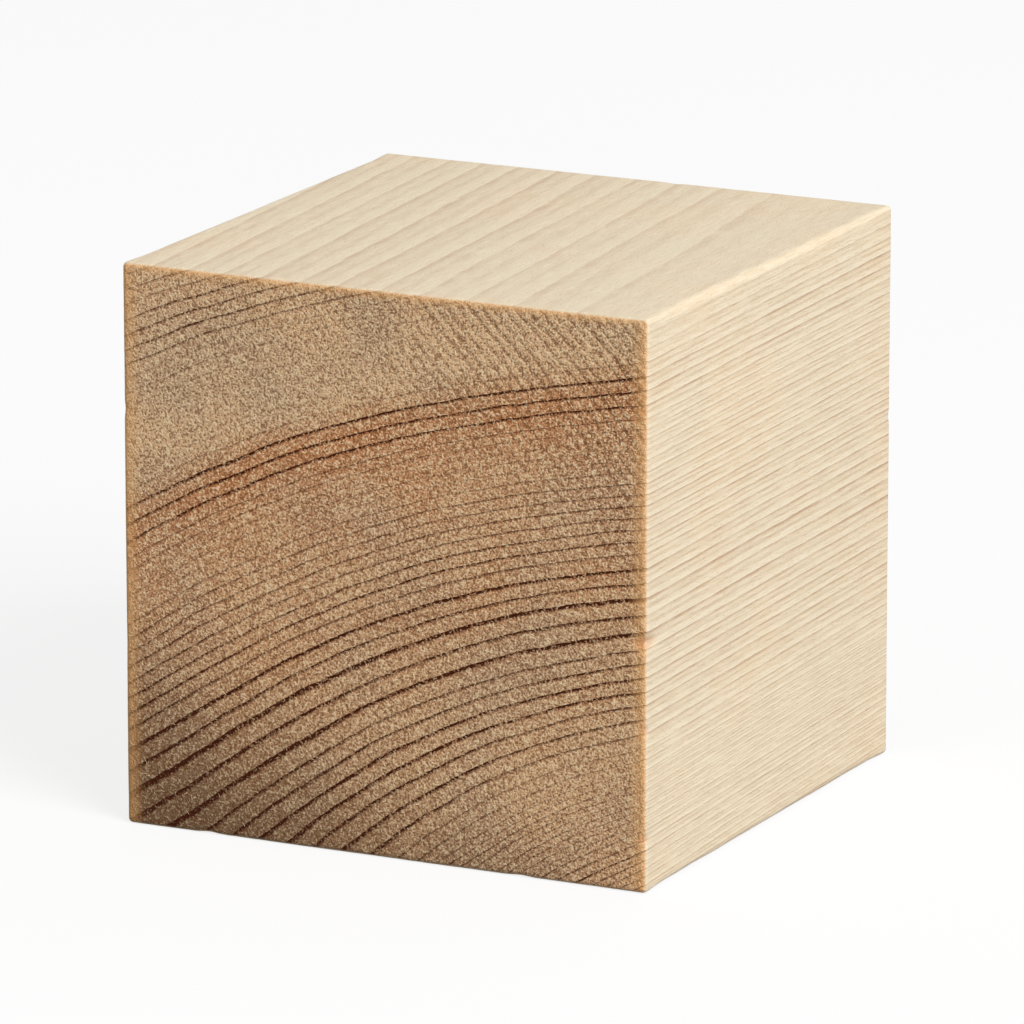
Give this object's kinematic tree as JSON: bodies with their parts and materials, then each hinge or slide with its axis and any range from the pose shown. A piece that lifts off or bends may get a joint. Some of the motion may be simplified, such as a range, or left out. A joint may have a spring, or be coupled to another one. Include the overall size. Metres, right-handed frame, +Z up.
{
  "type": "wooden cube",
  "caption": "Solid softwood cube with flat planed sides, sawn end grain at two opposite faces, and lightly eased edges, for stacking, gluing or propping on a bench or desk.",
  "frame": {"origin": "centre of the bottom face, which the block rests on", "axes": "+Z up; +Y along the grain, out of the back sawn end; +X out of the right long-grain face, so that the sawn end with the strongest rings faces -Y"},
  "size_m": [0.05, 0.05, 0.05],
  "materials": {
    "softwood": "unfinished planed and sanded softwood, matte, pale cream along the grain and tan brown on the sawn ends"
  },
  "bodies": {
    "root": {"wooden_cube": "softwood"}
  },
  "joints": []
}
